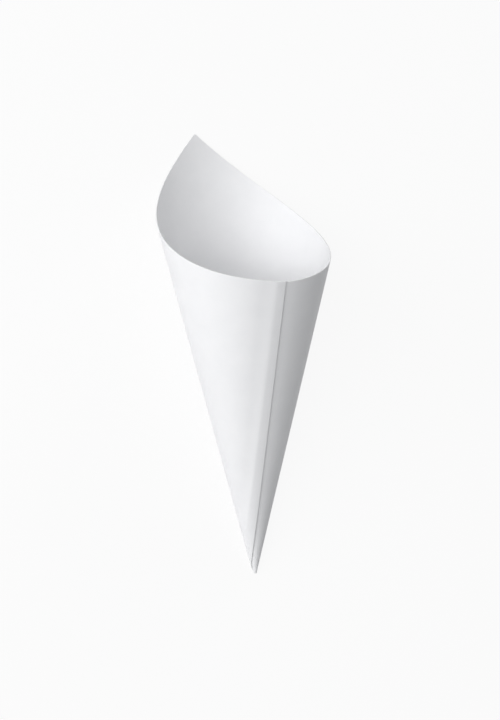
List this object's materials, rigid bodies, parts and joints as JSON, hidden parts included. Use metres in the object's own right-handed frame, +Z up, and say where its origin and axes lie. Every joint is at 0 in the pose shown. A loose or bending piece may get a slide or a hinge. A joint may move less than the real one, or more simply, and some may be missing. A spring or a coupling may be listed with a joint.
{
  "type": "cone paper cup",
  "caption": "Cone paper cup rolled from a square sheet of white card, with a lapped side seam and a pointed peak at the back of its mouth.",
  "frame": {"origin": "middle of the footprint, on the floor that the cone lies on", "axes": "+Z up; +Y along the wall that touches the floor, from the tip towards the mouth; the lapped seam is on top, on the side away from the peak"},
  "size_m": [0.0778, 0.2082, 0.0691],
  "materials": {
    "card": "smooth uncoated white card"
  },
  "bodies": {
    "root": {"rolled_cone": "card"}
  },
  "joints": []
}
